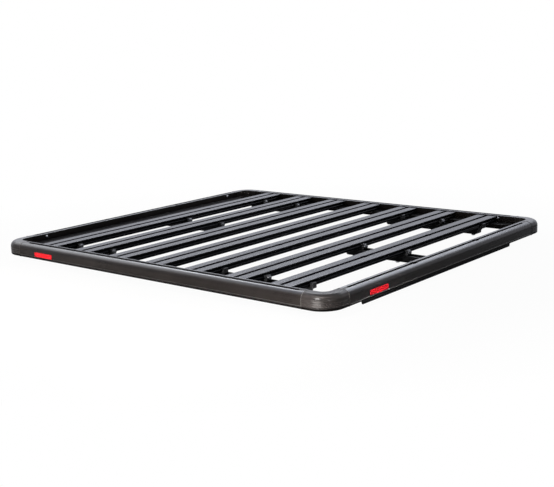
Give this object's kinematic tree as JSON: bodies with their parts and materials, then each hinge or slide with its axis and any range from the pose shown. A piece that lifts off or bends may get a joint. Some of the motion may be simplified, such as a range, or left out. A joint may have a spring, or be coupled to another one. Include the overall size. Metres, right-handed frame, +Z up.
{
  "type": "flat platform roof rack",
  "caption": "Flat black aluminium platform roof rack: bull-nosed rails with rounded moulded corners, slotted cross slats, clamped mounting channels below and a wind strip under the front rail.",
  "frame": {"origin": "bottom centre of the whole rack, on the level of the wind strip's lower edge", "axes": "+X along the longer side towards the front rail, +Y along the slats to the right rail, +Z up"},
  "size_m": [1.53, 1.38, 0.075],
  "materials": {
    "rail_coat": "black powder coat",
    "slat_coat": "black powder coat",
    "corner_moulding": "fine grained black moulding",
    "channel_coat": "black powder coat",
    "saddle_coat": "black powder coat",
    "strip_rubber": "matt black rubber",
    "bolt_steel": "plain stainless",
    "plate_red": "plain red plate"
  },
  "bodies": {
    "root": {"front_rail": "rail_coat", "rear_rail": "rail_coat", "left_rail": "rail_coat", "right_rail": "rail_coat", "front_left_corner": "corner_moulding", "front_right_corner": "corner_moulding", "rear_left_corner": "corner_moulding", "rear_right_corner": "corner_moulding", "slat_1": "slat_coat", "slat_2": "slat_coat", "slat_3": "slat_coat", "slat_4": "slat_coat", "slat_5": "slat_coat", "slat_6": "slat_coat", "slat_7": "slat_coat", "front_left_channel": "channel_coat", "front_left_saddles": "saddle_coat", "front_centre_channel": "channel_coat", "front_centre_saddles": "saddle_coat", "front_right_channel": "channel_coat", "front_right_saddles": "saddle_coat", "rear_left_channel": "channel_coat", "rear_left_saddles": "saddle_coat", "rear_centre_channel": "channel_coat", "rear_centre_saddles": "saddle_coat", "rear_right_channel": "channel_coat", "rear_right_saddles": "saddle_coat", "wind_strip": "strip_rubber"}
  },
  "joints": []
}
